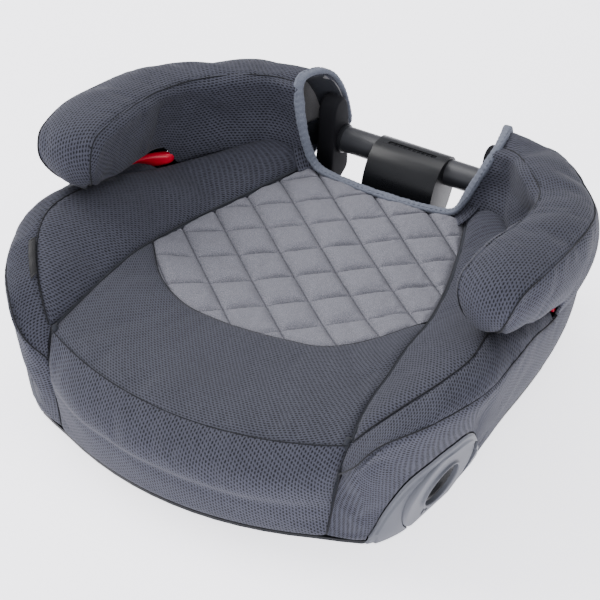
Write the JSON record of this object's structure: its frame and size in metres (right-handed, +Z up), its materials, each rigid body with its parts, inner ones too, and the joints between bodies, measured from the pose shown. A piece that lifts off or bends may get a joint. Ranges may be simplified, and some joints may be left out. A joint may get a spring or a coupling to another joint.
{
  "type": "booster seat",
  "caption": "Backless child booster seat with padded cover, quilted insert, curved armrests over belt slots, rear bar for a backrest and lower anchor connectors.",
  "frame": {"origin": "centre of the overall box at floor level, under the middle of the seat", "axes": "+X to the right seen from the front, -Y to the front edge of the seat, +Z up; the seat is symmetrical about X = 0"},
  "size_m": [0.4794, 0.4552, 0.2123],
  "materials": {
    "black_plastic": "fine textured black polypropylene",
    "axle_black": "smooth black powder coat",
    "grey_plastic": "fine textured mid grey",
    "gloss_button": "glossy black",
    "red_plastic": "smooth red",
    "mesh_fabric": "slate grey spacer mesh",
    "melange_fabric": "light grey melange, quilted",
    "binding_fabric": "bluish grey woven binding",
    "label_fabric": "blank black woven tag",
    "foam": "open cell foam",
    "rubber_feet": "matte black",
    "zinc_steel": "zinc plated"
  },
  "bodies": {
    "base": {"base_tray": "black_plastic", "base_feet": "rubber_feet", "base_screws": "zinc_steel", "seat_shell": "black_plastic", "front_shell": "black_plastic", "rear_shell": "black_plastic", "rear_upright_left": "black_plastic", "rear_upright_right": "black_plastic", "backrest_axle": "axle_black", "axle_saddle": "black_plastic", "belt_guide_left": "red_plastic", "belt_guide_right": "red_plastic", "armrest_core_left": "black_plastic", "armrest_core_right": "black_plastic", "armrest_foam_left": "foam", "armrest_foam_right": "foam", "armrest_inner_panel_left": "mesh_fabric", "armrest_inner_panel_right": "mesh_fabric", "armrest_gusset_left": "mesh_fabric", "armrest_gusset_right": "mesh_fabric", "armrest_outer_panel_left": "mesh_fabric", "armrest_outer_panel_right": "mesh_fabric", "seat_foam": "foam", "seat_front_panel": "mesh_fabric", "seat_insert": "melange_fabric", "side_top_panel_left": "mesh_fabric", "side_top_panel_right": "mesh_fabric", "outer_band_left": "mesh_fabric", "outer_band_right": "mesh_fabric", "lower_side_panel_left": "mesh_fabric", "lower_side_panel_right": "mesh_fabric", "front_band": "mesh_fabric", "seat_binding": "binding_fabric", "sleeve_binding_left": "binding_fabric", "sleeve_binding_right": "binding_fabric", "label_tag": "label_fabric", "side_cover_left": "grey_plastic", "side_cover_right": "grey_plastic", "button_bezel_left": "grey_plastic", "button_bezel_right": "grey_plastic", "connector_rail_left": "black_plastic", "connector_rail_right": "black_plastic"},
    "button_left": {"release_button_left": "gloss_button"},
    "button_right": {"release_button_right": "gloss_button"},
    "connectors": {"connector_arm_left": "zinc_steel", "connector_arm_right": "zinc_steel", "connector_crossbar": "zinc_steel", "latch_housing_left": "black_plastic", "latch_housing_right": "black_plastic", "hook_pin_left": "zinc_steel", "hook_pin_right": "zinc_steel"},
    "hook_left": {"latch_hook_left": "zinc_steel"},
    "hook_right": {"latch_hook_right": "zinc_steel"},
    "slider_left": {"latch_slider_left": "red_plastic"},
    "slider_right": {"latch_slider_right": "red_plastic"}
  },
  "joints": [
    {"name": "release_button_left_press", "type": "slide", "parent": "base", "child": "button_left", "axis": [0.9534, 0.1401, 0.2671], "range_m": [0, 0.005], "stiffness_N_per_m": 1200, "springref_m": -0.003},
    {"name": "release_button_right_press", "type": "slide", "parent": "base", "child": "button_right", "axis": [-0.9534, 0.1401, 0.2671], "range_m": [0, 0.005], "stiffness_N_per_m": 1200, "springref_m": -0.003},
    {"name": "connector_slide", "type": "slide", "parent": "base", "child": "connectors", "axis": [0, 1, 0], "range_m": [0, 0.095]},
    {"name": "latch_slider_left_pull", "type": "slide", "parent": "connectors", "child": "slider_left", "axis": [0, -1, 0], "range_m": [0, 0.008], "stiffness_N_per_m": 600, "springref_m": -0.003},
    {"name": "latch_hook_left_turn", "type": "hinge", "parent": "connectors", "child": "hook_left", "pos_m": [-0.14, 0.17, 0.026], "axis": [1, 0, 0], "range_deg": [0, 30]},
    {"name": "latch_slider_right_pull", "type": "slide", "parent": "connectors", "child": "slider_right", "axis": [0, -1, 0], "range_m": [0, 0.008], "stiffness_N_per_m": 600, "springref_m": -0.003},
    {"name": "latch_hook_right_turn", "type": "hinge", "parent": "connectors", "child": "hook_right", "pos_m": [0.14, 0.17, 0.026], "axis": [1, 0, 0], "range_deg": [0, 30]}
  ],
  "couplings": [
    {"joint": "latch_hook_left_turn", "follows": "latch_slider_left_pull", "rad_per_m": 65},
    {"joint": "latch_hook_right_turn", "follows": "latch_slider_right_pull", "rad_per_m": 65}
  ]
}
